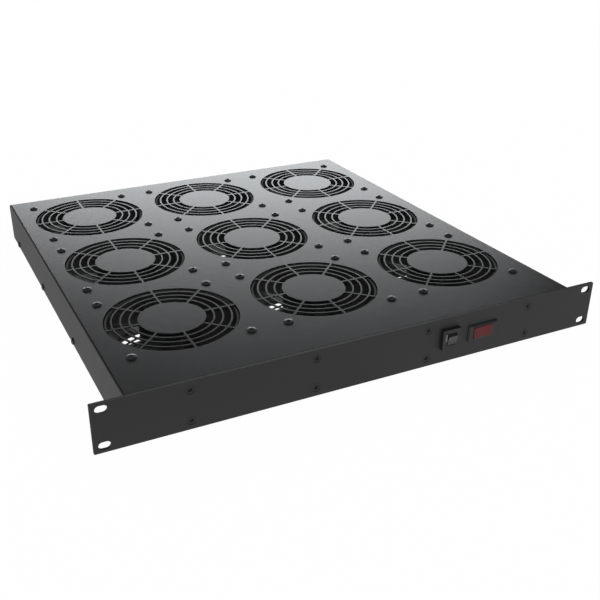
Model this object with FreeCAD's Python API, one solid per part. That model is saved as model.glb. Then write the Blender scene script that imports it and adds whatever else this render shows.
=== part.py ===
import FreeCAD, Part
import math
import os

# A rack fan tray, one rack unit high: a front panel with rack ears, a folded steel
# shell that carries nine axial fans under its grilles, and a cover below.
# Millimetres. The origin is the centre of the four rack slots on the front face:
# +X right, +Y into the rack, +Z up.

Vector = FreeCAD.Vector

# ---- driving dimensions ----

# front panel and rack interface
rack_unit = 44.45
panel_gap = 0.79
panel_thickness = 2.5
panel_corner_radius = 0.8
slot_pitch_x = 465.12
slot_to_edge = 8.74
slot_pitch_z = 31.75
slot_length = 10.0
slot_height = 6.8

# fans and their pattern
fan_columns = 3
fan_rows = 3
fan_pitch = 139.7
fan_size = 119.5
fan_depth = 38.0
fan_hole_inset = 7.35
fan_flange = 5.0
fan_corner_radius = 6.0
fan_rim = 2.25
barrel_wall = 2.0
bore_flare = 1.0
flare_depth = 3.0
strut_count = 4
strut_width = 6.5
strut_depth = 4.0
strut_root = 1.0
strut_first_angle = 70.0
motor_base_radius = 30.0
motor_base_thickness = 3.0
bearing_tube_wall = 2.0
bearing_radius = 7.0
bearing_width = 5.0
shaft_radius = 2.5
shaft_running_gap = 0.05
rotor_end_gap = 0.3
stator_radius = 24.5
stator_slots = 12
stator_slot_width = 2.6
stator_slot_depth = 9.0
stator_height = 16.0
winding_height = 3.5
winding_inset = 1.5
hub_radius = 29.0
hub_wall = 2.2
hub_height = 28.5
hub_top_recess = 2.2
hub_edge = 1.4
boss_radius = 6.0
boss_length = 4.0
blade_count = 7
blade_tip_gap = 1.1
blade_thickness = 1.9
blade_edge = 0.9
hub_chord = 31.0
tip_chord = 45.0
hub_stagger = 46.0
tip_stagger = 29.0
blade_camber = 0.07
# the share of the hub's wall that a blade's root enters
blade_bite = 0.8
# where each rotor came to rest, one angle per fan, row by row from the front left
rotor_angles = (36.4, 31.0, 17.0, 9.0, 40.0, 22.0, 47.0, 13.0, 35.0)
terminal_boss_width = 13.0
terminal_boss_height = 13.0
terminal_boss_reach = 8.0

# folded shell and cover
sheet = 1.2
bend_radius = 2.4
front_bay = 105.7
rear_bay = 80.4
side_margin = 75.3
fan_floor_gap = 0.8
cover_gap = 0.25
cover_flange = 11.0
corner_seam = 0.5
cover_screw_count = 4
cover_screw_pitch = 129.2
cover_screw_height = 4.7

# grille over and under each fan
grille_rings = 4
grille_disc_radius = 29.8
grille_overhang = 1.9
grille_web = 1.6
grille_spokes = 8
grille_spoke_width = 2.0

# fasteners
hole_gap = 0.25
thread_gap = 0.03
m4_radius = 2.0
m4_nut_flats = 7.0
m4_nut_height = 3.2
m4_point = 1.0
m3_radius = 1.5
m3_nut_flats = 5.5
m3_nut_height = 2.4
fan_screw_head_radius = 4.2
fan_screw_head_height = 2.3
panel_screw_head_radius = 4.2
panel_screw_columns = (-163.8, -54.6, 54.6, 163.8)
panel_screw_pitch_z = 27.6
panel_nut_radius = 3.9
panel_nut_height = 2.6
cover_screw_radius = 1.75
cover_screw_head_radius = 3.4
cover_screw_head_height = 2.2
cover_screw_length = 7.0

# rocker switch
switch_x = 77.95
switch_z = 1.6
switch_bezel_width = 18.8
switch_bezel_height = 19.2
switch_bezel_depth = 3.5
switch_bezel_chamfer = 0.2
switch_body_width = 16.4
switch_body_height = 16.8
switch_body_depth = 19.0
cutout_gap = 0.2
snap_depth = 0.8
snap_gap = 0.3
snap_slope = 5.0
snap_width_share = 0.4
rocker_width = 9.4
rocker_radius = 5.4
rocker_throw = 12.0
rocker_dish = 4.5
rocker_proud = 0.3
rocker_gap = 0.35
rocker_front_angle = 36.0
rocker_rear_angle = 28.0
rocker_tail_depth = 4.6
rocker_tail_half = 1.6
rocker_pin_radius = 1.2
rocker_pin_length = 1.2
rocker_pin_gap = 0.06
tab_width = 4.8
tab_thickness = 0.8
tab_length = 7.5
switch_tab_pitch_x = 7.0
switch_tab_pitch_z = 8.5

# indicator lamp
lamp_x = 113.1
lamp_z = 0.75
lamp_bezel_width = 31.0
lamp_bezel_height = 15.8
lamp_bezel_depth = 2.0
lamp_bezel_chamfer = 1.3
lamp_body_width = 26.0
lamp_body_height = 13.4
lamp_body_depth = 18.0
lens_width = 20.4
lens_height = 10.8
lens_rise = 0.7
lens_skirt = 4.5
lens_wall = 1.2
lens_gap = 0.12
lens_corner_radius = 2.0
lens_rim_radius = 0.5
lens_front_wall = 1.8
lamp_cavity_depth = 13.0
bulb_radius = 2.6
bulb_length = 8.0
lamp_tab_pitch = 12.0

# mains inlet on the rear wall
inlet_flange_width = 50.0
inlet_flange_height = 24.0
inlet_flange_thickness = 3.0
inlet_flange_corner = 5.0
inlet_screw_pitch = 40.0
inlet_body_width = 28.0
inlet_body_height = 20.2
inlet_body_depth = 16.5
inlet_socket_width = 24.5
inlet_socket_height = 16.6
inlet_socket_depth = 16.3
inlet_socket_corner = 4.5
pin_width = 4.0
pin_thickness = 2.0
pin_pitch = 14.0
pin_offset = 4.0
pin_recess = 1.0
inlet_csk_radius = 3.0

# leads inside the shell
boot_length = 7.0
boot_wall = 1.6
plug_length = 9.0
plug_width = 12.0
plug_height = 10.0
mains_lead_radius = 3.0
harness_radius = 2.5
fan_lead_radius = 1.5
earth_lead_radius = 1.3
lead_drop = 4.5
harness_bay = 22.0
earth_stud_inset = 5.5
earth_stud_offset = 23.0
earth_stud_length = 8.0
ring_radius = 4.0
ring_thickness = 1.0
tongue_length = 4.0
# how far a lead enters its boot, and where the mains lead turns up, in boot lengths
lead_entry = 1.0
mains_rise = 2.6
# the share of the shorter run that a wide arc takes up
arc_share = 0.45

# ---- sizes worked out from them ----

panel_height = rack_unit - panel_gap
panel_width = slot_pitch_x + 2 * slot_to_edge
chassis_width = (fan_columns - 1) * fan_pitch + 2 * side_margin
chassis_depth = front_bay + (fan_rows - 1) * fan_pitch + rear_bay
chassis_height = fan_depth + fan_floor_gap + 2 * sheet
half_width = chassis_width / 2
top = chassis_height / 2
bottom = -top
front = panel_thickness
rear = front + chassis_depth
inner_half_width = half_width - sheet
inner_front = front + sheet
inner_rear = rear - sheet
fan_top = top - sheet
column_places = [(i - (fan_columns - 1) / 2) * fan_pitch for i in range(fan_columns)]
row_places = [front + front_bay + j * fan_pitch for j in range(fan_rows)]
fan_hole_pitch = fan_size - 2 * fan_hole_inset
fan_bore_radius = fan_size / 2 - fan_rim
grille_outer = fan_bore_radius + grille_overhang
grille_webs = (grille_rings - 1) * grille_web
grille_slot = (grille_outer - grille_disc_radius - grille_webs) / grille_rings
aisle = fan_pitch / 2
inlet_x = aisle
screw_hole_radius = m4_radius + hole_gap
barrel_radius = fan_bore_radius + barrel_wall
tube_radius = bearing_radius + bearing_tube_wall
tab_end = switch_body_depth + tab_length
inlet_face = rear + inlet_flange_thickness
inlet_back = rear - inlet_body_depth
inlet_tab_end = inlet_back - tab_length
earth_stud_x = inlet_x + earth_stud_offset
earth_stud_y = inner_rear - earth_stud_inset

# heights in a fan, whose upper face is z = 0: the hub's top, the bearing tube's end
# under the hub's cap and boss, and the floor that the rotor clears
hub_top = -hub_top_recess
tube_top = hub_top - hub_wall - boss_length - rotor_end_gap
tube_floor = motor_base_thickness - fan_depth

# the rocker's pivot, from where the end of its pressed half stands before the bezel
rocker_reach = rocker_radius * math.sin(math.radians(rocker_front_angle - rocker_throw))
rocker_pivot = rocker_reach - rocker_proud - switch_bezel_depth


# ---- small shapes ----

def box(x0, x1, y0, y1, z0, z1):
    return Part.makeBox(x1 - x0, y1 - y0, z1 - z0, Vector(x0, y0, z0))


def block(centre_x, centre_z, width, height, y0, y1):
    """A box centred in x and z that runs from y0 to y1."""
    return box(centre_x - width / 2, centre_x + width / 2, y0, y1,
               centre_z - height / 2, centre_z + height / 2)


def upright_rod(x, y, z0, z1, radius):
    return Part.makeCylinder(radius, z1 - z0, Vector(x, y, z0))


def deep_rod(x, z, y0, y1, radius):
    return Part.makeCylinder(radius, y1 - y0, Vector(x, y0, z), Vector(0, 1, 0))


def turned(profile):
    """A solid of revolution about Z from (radius, height) points."""
    points = [Vector(r, 0, z) for r, z in profile]
    face = Part.Face(Part.makePolygon(points + points[:1]))
    return face.revolve(Vector(0, 0, 0), Vector(0, 0, 1), 360)


def pointing(shape, direction, place):
    """A shape built along +Z, turned to point along direction and moved to place."""
    copy = shape.copy()
    turn = FreeCAD.Rotation(Vector(0, 0, 1), direction)
    copy.Placement = FreeCAD.Placement(place, turn)
    return copy


def moved(shape, x, y, z, angle=0.0):
    copy = shape.copy()
    turn = FreeCAD.Rotation(Vector(0, 0, 1), angle)
    copy.Placement = FreeCAD.Placement(Vector(x, y, z), turn)
    return copy


def edges_along(shape, direction):
    """The straight edges that run parallel to a direction."""
    found = []
    for edge in shape.Edges:
        if edge.Curve.TypeId != "Part::GeomLine":
            continue
        along = edge.Curve.Direction
        if along.cross(direction).Length < 1e-6:
            found.append(edge)
    return found


def hex_nut(flats, height, bore):
    """A hexagonal nut that stands on z = 0."""
    corner = flats / math.sqrt(3)
    points = [Vector(corner * math.cos(math.radians(60 * k)),
                     corner * math.sin(math.radians(60 * k)), 0) for k in range(7)]
    body = Part.Face(Part.makePolygon(points)).extrude(Vector(0, 0, height))
    return body.cut(Part.makeCylinder(bore, height))


def pan_screw(shank, head, head_height, length):
    """A pan-head screw: the head stands above z = 0 and the shank hangs below."""
    return turned([(0, head_height), (0.5 * head, head_height), (0.85 * head, 0.75 * head_height),
                   (head, 0.35 * head_height), (head, 0), (shank, 0), (shank, -length),
                   (0, -length)])


def flush_screw(shank, head, length):
    """A countersunk screw with a 90 degree head whose flat top lies on z = 0."""
    cone = head - shank
    return turned([(0, 0), (head, 0), (shank, -cone), (shank, -length), (0, -length)])


def flush_hole(shank, head, length):
    """What a countersunk screw's hole takes out, a clearance larger all round."""
    return flush_screw(shank + hole_gap, head, length)


def lead(points, radius, bend=None):
    """A round lead: straight runs joined by tangent arcs of one bend radius, or as wide as fits."""
    edges = []
    last = points[0]
    for before, corner, after in zip(points, points[1:], points[2:]):
        inward = (corner - before).normalize()
        outward = (after - corner).normalize()
        half_turn = inward.getAngle(outward) / 2
        run = arc_share * min((corner - before).Length, (after - corner).Length)
        if bend:
            run = bend * math.tan(half_turn)
        begin = corner - inward * run
        end = corner + outward * run
        sag = run / math.tan(half_turn) * (1 / math.cos(half_turn) - 1)
        middle = corner + (outward - inward).normalize() * sag
        edges.append(Part.LineSegment(last, begin).toShape())
        edges.append(Part.Arc(begin, middle, end).toShape())
        last = end
    edges.append(Part.LineSegment(last, points[-1]).toShape())
    start = (points[1] - points[0]).normalize()
    section = Part.Wire([Part.Circle(points[0], start, radius).toShape()])
    return Part.Wire(edges).makePipeShell([section], True, False)


def export(shape, name):
    shape.exportStep("parts/" + name + ".step")
    print(name, len(shape.Solids))


# ---- grille ----

def grille_opening(inner, outer, spoke_angle, gap_angle):
    """One slot's outline: two arcs between the parallel sides of two spokes."""
    half = grille_spoke_width / 2

    def corner(radius, angle, side):
        swing = math.radians(angle) + side * math.asin(half / radius)
        return Vector(radius * math.cos(swing), radius * math.sin(swing), 0)

    def middle(radius):
        swing = math.radians(spoke_angle + gap_angle / 2)
        return Vector(radius * math.cos(swing), radius * math.sin(swing), 0)

    a = corner(inner, spoke_angle, 1)
    b = corner(inner, spoke_angle + gap_angle, -1)
    c = corner(outer, spoke_angle + gap_angle, -1)
    d = corner(outer, spoke_angle, 1)
    return Part.Wire([
        Part.Arc(a, middle(inner), b).toShape(),
        Part.LineSegment(b, c).toShape(),
        Part.Arc(c, middle(outer), d).toShape(),
        Part.LineSegment(d, a).toShape(),
    ])


def grille_cutter(thickness):
    """All slots of one fan's grille, as solids standing on z = 0 about the Z axis."""
    gap_angle = 360 / grille_spokes
    cutters = []
    for ring in range(grille_rings):
        inner = grille_disc_radius + ring * (grille_slot + grille_web)
        outer = inner + grille_slot
        for spoke in range(grille_spokes):
            outline = grille_opening(inner, outer, spoke * gap_angle, gap_angle)
            cutters.append(Part.Face(outline).extrude(Vector(0, 0, thickness)))
    return cutters


def all_grilles(z0, thickness):
    slots = grille_cutter(thickness)
    cutters = []
    for y in row_places:
        for x in column_places:
            cutters += [moved(slot, x, y, z0) for slot in slots]
    return cutters


def fan_screw_places():
    half = fan_hole_pitch / 2
    return [(x + sx * half, y + sy * half)
            for y in row_places for x in column_places
            for sx in (-1, 1) for sy in (-1, 1)]


# ---- sheet metal ----

def panel_screw_places():
    half = panel_screw_pitch_z / 2
    return [(x, z) for x in panel_screw_columns for z in (-half, half)]


def cover_screw_places():
    """The y of each screw along one side, spread about the middle of the shell."""
    centre = front + chassis_depth / 2
    first = centre - (cover_screw_count - 1) / 2 * cover_screw_pitch
    return [first + k * cover_screw_pitch for k in range(cover_screw_count)]


def switch_cutout(y0, y1):
    return block(switch_x, switch_z, switch_body_width + 2 * cutout_gap,
                 switch_body_height + 2 * cutout_gap, y0, y1)


def lamp_cutout(y0, y1):
    return block(lamp_x, lamp_z, lamp_body_width + 2 * cutout_gap,
                 lamp_body_height + 2 * cutout_gap, y0, y1)


def rack_slot(x, z):
    """A horizontal slot with round ends, through the panel."""
    flat = slot_length - slot_height
    middle = block(x, z, flat, slot_height, 0, panel_thickness)
    ends = [deep_rod(x + s * flat / 2, z, 0, panel_thickness, slot_height / 2) for s in (-1, 1)]
    return middle.fuse(ends).removeSplitter()


def front_panel():
    body = block(0, 0, panel_width, panel_height, 0, panel_thickness)
    body = body.makeFillet(panel_corner_radius, edges_along(body, Vector(0, 1, 0)))
    cutters = [rack_slot(sx * slot_pitch_x / 2, sz * slot_pitch_z / 2)
               for sx in (-1, 1) for sz in (-1, 1)]
    hole = flush_hole(m4_radius, panel_screw_head_radius, panel_thickness)
    for x, z in panel_screw_places():
        cutters.append(pointing(hole, Vector(0, -1, 0), Vector(x, 0, z)))
    cutters.append(switch_cutout(0, panel_thickness))
    cutters.append(lamp_cutout(0, panel_thickness))
    return body.cut(cutters)


def top_shell():
    """Top plate and four walls folded from one sheet, open below, with corner seams."""
    outer = box(-half_width, half_width, front, rear, bottom, top)
    rim = [e for e in outer.Edges if min(v.Point.z for v in e.Vertexes) > top - 1e-6]
    outer = outer.makeFillet(bend_radius, rim)
    inner = box(-inner_half_width, inner_half_width, inner_front, inner_rear, bottom, fan_top)
    rim = [e for e in inner.Edges if min(v.Point.z for v in e.Vertexes) > fan_top - 1e-6]
    inner = inner.makeFillet(bend_radius - sheet, rim)
    body = outer.cut(inner)
    cutters = all_grilles(fan_top, sheet)
    for x, y in fan_screw_places():
        cutters.append(upright_rod(x, y, fan_top, top, screw_hole_radius))
    for x, z in panel_screw_places():
        cutters.append(deep_rod(x, z, front, inner_front, screw_hole_radius))
    side_hole = cover_screw_radius + hole_gap
    side_z = bottom + cover_screw_height
    for y in cover_screw_places():
        across = Part.makeCylinder(side_hole, chassis_width, Vector(-half_width, y, side_z),
                                   Vector(1, 0, 0))
        cutters.append(across)
    cutters.append(switch_cutout(front, inner_front))
    cutters.append(lamp_cutout(front, inner_front))
    cutters.append(block(inlet_x, 0, inlet_body_width + 2 * cutout_gap,
                         inlet_body_height + 2 * cutout_gap, inner_rear, rear))
    for side in (-1, 1):
        cutters.append(deep_rod(inlet_x + side * inlet_screw_pitch / 2, 0, inner_rear, rear,
                                m3_radius + hole_gap))
        seam_x = side * (inner_half_width - corner_seam / 2)
        for y0, y1 in ((front, inner_front), (inner_rear, rear)):
            cutters.append(box(seam_x - corner_seam / 2, seam_x + corner_seam / 2, y0, y1,
                               bottom, top - bend_radius))
    return body.cut(cutters)


def bottom_cover():
    """A flat cover with nine grilles and a flange turned up along each side."""
    half = inner_half_width - cover_gap
    y0 = inner_front + cover_gap
    y1 = inner_rear - cover_gap
    outer = box(-half, half, y0, y1, bottom, bottom + cover_flange)
    low = [e for e in edges_along(outer, Vector(0, 1, 0)) if e.Vertexes[0].Point.z < bottom + 1e-6]
    outer = outer.makeFillet(bend_radius, low)
    inner = box(-half + sheet, half - sheet, y0, y1, bottom + sheet, bottom + cover_flange)
    low = [e for e in edges_along(inner, Vector(0, 1, 0))
           if e.Vertexes[0].Point.z < bottom + sheet + 1e-6]
    inner = inner.makeFillet(bend_radius - sheet, low)
    body = outer.cut(inner)
    cutters = all_grilles(bottom, sheet)
    side_z = bottom + cover_screw_height
    for y in cover_screw_places():
        across = Part.makeCylinder(cover_screw_radius + thread_gap, 2 * half, Vector(-half, y, side_z),
                                   Vector(1, 0, 0))
        cutters.append(across)
    return body.cut(cutters)


# ---- fasteners ----

def panel_screws():
    length = panel_thickness + sheet + panel_nut_height + m4_point
    screw = flush_screw(m4_radius, panel_screw_head_radius, length)
    return Part.makeCompound([pointing(screw, Vector(0, -1, 0), Vector(x, 0, z))
                              for x, z in panel_screw_places()])


def panel_nuts():
    """Round press nuts on the back of the shell's front wall."""
    body = Part.makeCylinder(panel_nut_radius, panel_nut_height)
    nut = body.cut(Part.makeCylinder(m4_radius + thread_gap, panel_nut_height))
    return Part.makeCompound([pointing(nut, Vector(0, 1, 0), Vector(x, inner_front, z))
                              for x, z in panel_screw_places()])


def cover_screws():
    screw = pan_screw(cover_screw_radius, cover_screw_head_radius, cover_screw_head_height,
                      cover_screw_length)
    z = bottom + cover_screw_height
    return Part.makeCompound([pointing(screw, Vector(side, 0, 0), Vector(side * half_width, y, z))
                              for side in (-1, 1) for y in cover_screw_places()])


def fan_screws():
    length = sheet + fan_flange + m4_nut_height + m4_point
    screw = pan_screw(m4_radius, fan_screw_head_radius, fan_screw_head_height, length)
    return Part.makeCompound([moved(screw, x, y, top) for x, y in fan_screw_places()])


def m4_nuts():
    """The nuts under the fans' upper flanges, and the one on the earth stud."""
    nut = hex_nut(m4_nut_flats, m4_nut_height, m4_radius + thread_gap)
    under_flange = fan_top - fan_flange - m4_nut_height
    nuts = [moved(nut, x, y, under_flange) for x, y in fan_screw_places()]
    nuts.append(moved(nut, earth_stud_x, earth_stud_y, fan_top - ring_thickness - m4_nut_height))
    return Part.makeCompound(nuts)


# ---- fans ----

def fan_frame():
    """A die-cast frame about the Z axis with its upper face on z = 0."""
    flange = box(-fan_size / 2, fan_size / 2, -fan_size / 2, fan_size / 2, 0, fan_flange)
    flange = flange.makeFillet(fan_corner_radius, edges_along(flange, Vector(0, 0, 1)))
    holes = [upright_rod(sx * fan_hole_pitch / 2, sy * fan_hole_pitch / 2, 0, fan_flange,
                         screw_hole_radius) for sx in (-1, 1) for sy in (-1, 1)]
    flange = flange.cut(holes)
    barrel = Part.makeCylinder(barrel_radius, fan_depth, Vector(0, 0, -fan_depth))
    body = barrel.fuse([moved(flange, 0, 0, -fan_flange), moved(flange, 0, 0, -fan_depth)])
    body = body.fuse(terminal_boss())
    flare = fan_bore_radius + bore_flare
    bore = turned([(0, 0), (flare, 0), (fan_bore_radius, -flare_depth),
                   (fan_bore_radius, flare_depth - fan_depth), (flare, -fan_depth),
                   (0, -fan_depth)])
    body = body.cut(bore)
    return body.fuse(motor_mount()).removeSplitter()


def terminal_boss():
    """The block on the barrel that holds the two supply blades, at the -45 degree corner."""
    boss = box(barrel_radius - barrel_wall, barrel_radius + terminal_boss_reach,
               -terminal_boss_width / 2, terminal_boss_width / 2,
               -terminal_boss_height / 2, terminal_boss_height / 2)
    return moved(boss, 0, 0, -fan_depth / 2, -45)


def motor_mount():
    """Base disc, bearing tube and struts, level with the frame's lower face."""
    base = -fan_depth
    mount = turned([(0, base), (motor_base_radius, base), (motor_base_radius, tube_floor),
                    (tube_radius, tube_floor), (tube_radius, tube_top), (bearing_radius, tube_top),
                    (bearing_radius, tube_floor), (0, tube_floor)])
    reach = fan_bore_radius + barrel_wall / 2
    strut = box(motor_base_radius - strut_root, reach, -strut_width / 2, strut_width / 2,
                base, base + strut_depth)
    struts = [moved(strut, 0, 0, 0, strut_first_angle + 360 * k / strut_count)
              for k in range(strut_count)]
    return mount.fuse(struts)


def bearing_heights():
    """Where the two bearings stand in the tube: one at each end."""
    return tube_floor, tube_top - bearing_width


def bearing():
    body = Part.makeCylinder(bearing_radius, bearing_width)
    return body.cut(Part.makeCylinder(shaft_radius + shaft_running_gap, bearing_width))


def stator():
    """A slotted stack on the bearing tube with its winding above and below."""
    base = tube_floor + winding_height
    stack = Part.makeCylinder(stator_radius, stator_height, Vector(0, 0, base))
    slot = box(stator_radius - stator_slot_depth, 2 * stator_radius,
               -stator_slot_width / 2, stator_slot_width / 2, base, base + stator_height)
    slots = [moved(slot, 0, 0, 0, 360 * k / stator_slots) for k in range(stator_slots)]
    coil_outer = stator_radius - winding_inset
    coil_inner = stator_radius - stator_slot_depth
    coils = [turned([(coil_inner, z), (coil_outer, z), (coil_outer, z + winding_height),
                     (coil_inner, z + winding_height)])
             for z in (base - winding_height, base + stator_height)]
    bore = Part.makeCylinder(tube_radius, fan_depth, Vector(0, 0, -fan_depth))
    return stack.cut(slots).fuse(coils).cut(bore)


def blade_section(radius, chord, stagger):
    """A cambered blade section in the plane x = radius; it climbs counter-clockwise."""
    half = chord / 2
    edge = blade_edge / 2
    swell = blade_thickness / 2
    bow = blade_camber * chord
    middle_z = hub_top - hub_height / 2
    slope = math.radians(stagger)

    def place(along, across):
        y = along * math.cos(slope) - across * math.sin(slope)
        z = along * math.sin(slope) + across * math.cos(slope)
        return Vector(radius, y, middle_z + z)

    low_end = place(-half, -edge)
    high_end = place(-half, edge)
    return Part.Wire([
        Part.Arc(high_end, place(0, bow + swell), place(half, edge)).toShape(),
        Part.LineSegment(place(half, edge), place(half, -edge)).toShape(),
        Part.Arc(place(half, -edge), place(0, bow - swell), low_end).toShape(),
        Part.LineSegment(low_end, high_end).toShape(),
    ])


def impeller():
    """A hub cup with twisted blades, trimmed to the cylinder that the tips sweep."""
    tip = fan_bore_radius - blade_tip_gap
    root = hub_radius - blade_bite * hub_wall
    first = hub_radius - 2 * hub_wall
    last = fan_bore_radius

    def section(radius):
        part = (radius - first) / (last - first)
        chord = hub_chord + (tip_chord - hub_chord) * part
        stagger = hub_stagger + (tip_stagger - hub_stagger) * part
        return blade_section(radius, chord, stagger)

    stations = [first, (first + last) / 2, last]
    blade = Part.makeLoft([section(r) for r in stations], True)
    low = hub_top - fan_depth
    annulus = Part.makeCylinder(tip, 2 * fan_depth, Vector(0, 0, low))
    annulus = annulus.cut(Part.makeCylinder(root, 2 * fan_depth, Vector(0, 0, low)))
    blade = blade.common(annulus)
    blades = [moved(blade, 0, 0, 0, 360 * k / blade_count) for k in range(blade_count)]
    return hub_cup().fuse(blades).removeSplitter()


def hub_cup():
    crown = hub_top
    rim = crown - hub_height
    inner = hub_radius - hub_wall
    ceiling = crown - hub_wall
    boss_end = ceiling - boss_length
    cup = turned([(shaft_radius, crown), (hub_radius, crown), (hub_radius, rim), (inner, rim),
                  (inner, ceiling), (boss_radius, ceiling), (boss_radius, boss_end),
                  (shaft_radius, boss_end)])
    lip = [e for e in cup.Edges
           if e.Curve.TypeId == "Part::GeomCircle" and abs(e.Curve.Radius - hub_radius) < 1e-6
           and abs(e.Curve.Center.z - crown) < 1e-6]
    return cup.makeChamfer(hub_edge, lip)


def shaft():
    """From the floor of the bearing tube to the top of the hub."""
    low = tube_floor + rotor_end_gap
    return Part.makeCylinder(shaft_radius, hub_top - low, Vector(0, 0, low))


# ---- rocker switch ----

def switch_housing():
    bezel = block(switch_x, switch_z, switch_bezel_width, switch_bezel_height,
                  -switch_bezel_depth, 0)
    rim = [e for e in bezel.Edges if max(v.Point.y for v in e.Vertexes) < 1e-6 - switch_bezel_depth]
    bezel = bezel.makeChamfer(switch_bezel_chamfer, rim)
    body = block(switch_x, switch_z, switch_body_width, switch_body_height, 0, switch_body_depth)
    pocket_half = rocker_radius + rocker_gap
    swing = math.sin(math.radians(rocker_throw))
    floor = rocker_pivot + rocker_tail_depth + rocker_gap + 2 * rocker_tail_half * swing
    pocket = block(switch_x, switch_z, rocker_width + 2 * rocker_gap, 2 * pocket_half,
                   -switch_bezel_depth, floor)
    pin_reach = rocker_width / 2 + rocker_pin_length + rocker_gap
    seat = Part.makeCylinder(rocker_pin_radius + rocker_pin_gap, 2 * pin_reach,
                             Vector(switch_x - pin_reach, rocker_pivot, switch_z),
                             Vector(1, 0, 0))
    return bezel.fuse([body] + snap_wedges()).cut([pocket, seat])


def snap_wedges():
    """Ramps above and below the body that catch behind the shell's front wall."""
    wedges = []
    start = inner_front + snap_gap
    width = snap_width_share * switch_body_width
    for side in (-1, 1):
        z = switch_z + side * switch_body_height / 2
        points = [Vector(0, start, z), Vector(0, start, z + side * snap_depth),
                  Vector(0, start + snap_slope * snap_depth, z)]
        face = Part.Face(Part.makePolygon(points + points[:1]))
        wedge = face.extrude(Vector(width, 0, 0))
        wedge.translate(Vector(switch_x - width / 2, 0, 0))
        wedges.append(wedge)
    return wedges


def switch_rocker():
    """A rocker with a shallow V face, modelled with its lower half pressed in."""
    def on_rim(angle, side):
        swing = math.radians(angle)
        return Vector(0, -rocker_radius * math.sin(swing), side * rocker_radius * math.cos(swing))

    corner = on_rim(rocker_front_angle, 1)
    valley = corner.y + corner.z * math.tan(math.radians(rocker_dish))
    tail_top = Vector(0, rocker_tail_depth, rocker_tail_half)
    tail_low = Vector(0, rocker_tail_depth, -rocker_tail_half)
    outline = Part.Wire([
        Part.LineSegment(Vector(0, valley, 0), corner).toShape(),
        Part.Arc(corner, on_rim(0, 1), on_rim(-rocker_rear_angle, 1)).toShape(),
        Part.LineSegment(on_rim(-rocker_rear_angle, 1), tail_top).toShape(),
        Part.LineSegment(tail_top, tail_low).toShape(),
        Part.LineSegment(tail_low, on_rim(-rocker_rear_angle, -1)).toShape(),
        Part.Arc(on_rim(-rocker_rear_angle, -1), on_rim(0, -1),
                 on_rim(rocker_front_angle, -1)).toShape(),
        Part.LineSegment(on_rim(rocker_front_angle, -1), Vector(0, valley, 0)).toShape(),
    ])
    body = Part.Face(outline).extrude(Vector(rocker_width, 0, 0))
    body.translate(Vector(-rocker_width / 2, 0, 0))
    pin_reach = rocker_width / 2 + rocker_pin_length
    pin = Part.makeCylinder(rocker_pin_radius, 2 * pin_reach, Vector(-pin_reach, 0, 0),
                            Vector(1, 0, 0))
    rocker = body.fuse(pin)
    rocker.Placement = FreeCAD.Placement(Vector(switch_x, rocker_pivot, switch_z),
                                         FreeCAD.Rotation(Vector(1, 0, 0), rocker_throw))
    return rocker


def switch_tab_places():
    return [(switch_x + sx * switch_tab_pitch_x / 2, switch_z + sz * switch_tab_pitch_z / 2)
            for sx in (-1, 1) for sz in (-1, 1)]


def switch_terminals():
    return Part.makeCompound([block(x, z, tab_thickness, tab_width, switch_body_depth, tab_end)
                              for x, z in switch_tab_places()])


# ---- indicator lamp ----

def lamp_housing():
    bezel = block(lamp_x, lamp_z, lamp_bezel_width, lamp_bezel_height, -lamp_bezel_depth, 0)
    rim = [e for e in bezel.Edges if max(v.Point.y for v in e.Vertexes) < 1e-6 - lamp_bezel_depth]
    bezel = bezel.makeChamfer(lamp_bezel_chamfer, rim)
    body = block(lamp_x, lamp_z, lamp_body_width, lamp_body_height, 0, lamp_body_depth)
    cavity = block(lamp_x, lamp_z, lens_width + 2 * lens_gap, lens_height + 2 * lens_gap,
                   -lamp_bezel_depth, lens_skirt)
    chamber = block(lamp_x, lamp_z, lens_width - 2 * lens_wall, lens_height - 2 * lens_wall,
                    lens_skirt, lamp_cavity_depth)
    return bezel.fuse(body).cut([cavity, chamber])


def lamp_lens():
    """A red window with a skirt that sits on the step in the housing."""
    y0 = -lamp_bezel_depth - lens_rise
    lens = block(lamp_x, lamp_z, lens_width, lens_height, y0, lens_skirt)
    lens = lens.makeFillet(lens_corner_radius, edges_along(lens, Vector(0, 1, 0)))
    rim = [e for e in lens.Edges if max(v.Point.y for v in e.Vertexes) < y0 + 1e-6]
    lens = lens.makeFillet(lens_rim_radius, rim)
    hollow = block(lamp_x, lamp_z, lens_width - 2 * lens_wall, lens_height - 2 * lens_wall,
                   y0 + lens_front_wall, lens_skirt)
    return lens.cut(hollow)


def lamp_bulb():
    """A small glow lamp that lies along the chamber from its back wall."""
    base = lamp_cavity_depth
    profile = [(0, 0), (bulb_radius, 0), (bulb_radius, bulb_length - bulb_radius),
               (0.7 * bulb_radius, bulb_length - 0.3 * bulb_radius),
               (0.2 * bulb_radius, bulb_length), (0, bulb_length)]
    return pointing(turned(profile), Vector(0, -1, 0), Vector(lamp_x, base, lamp_z))


def lamp_terminals():
    half = lamp_tab_pitch / 2
    return Part.makeCompound([block(lamp_x + s * half, lamp_z, tab_thickness, tab_width,
                                    lamp_body_depth, lamp_body_depth + tab_length)
                              for s in (-1, 1)])


# ---- mains inlet ----

def inlet_socket():
    """The recess for the plug: a box with the two upper corners cut off."""
    half = inlet_socket_width / 2
    low = -inlet_socket_height / 2
    high = inlet_socket_height / 2
    cut = inlet_socket_corner
    y0 = inlet_face - inlet_socket_depth
    points = [Vector(inlet_x + x, y0, z) for x, z in
              ((-half, low), (half, low), (half, high - cut), (half - cut, high),
               (cut - half, high), (-half, high - cut))]
    return Part.Face(Part.makePolygon(points + points[:1])).extrude(Vector(0, inlet_socket_depth, 0))


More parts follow.
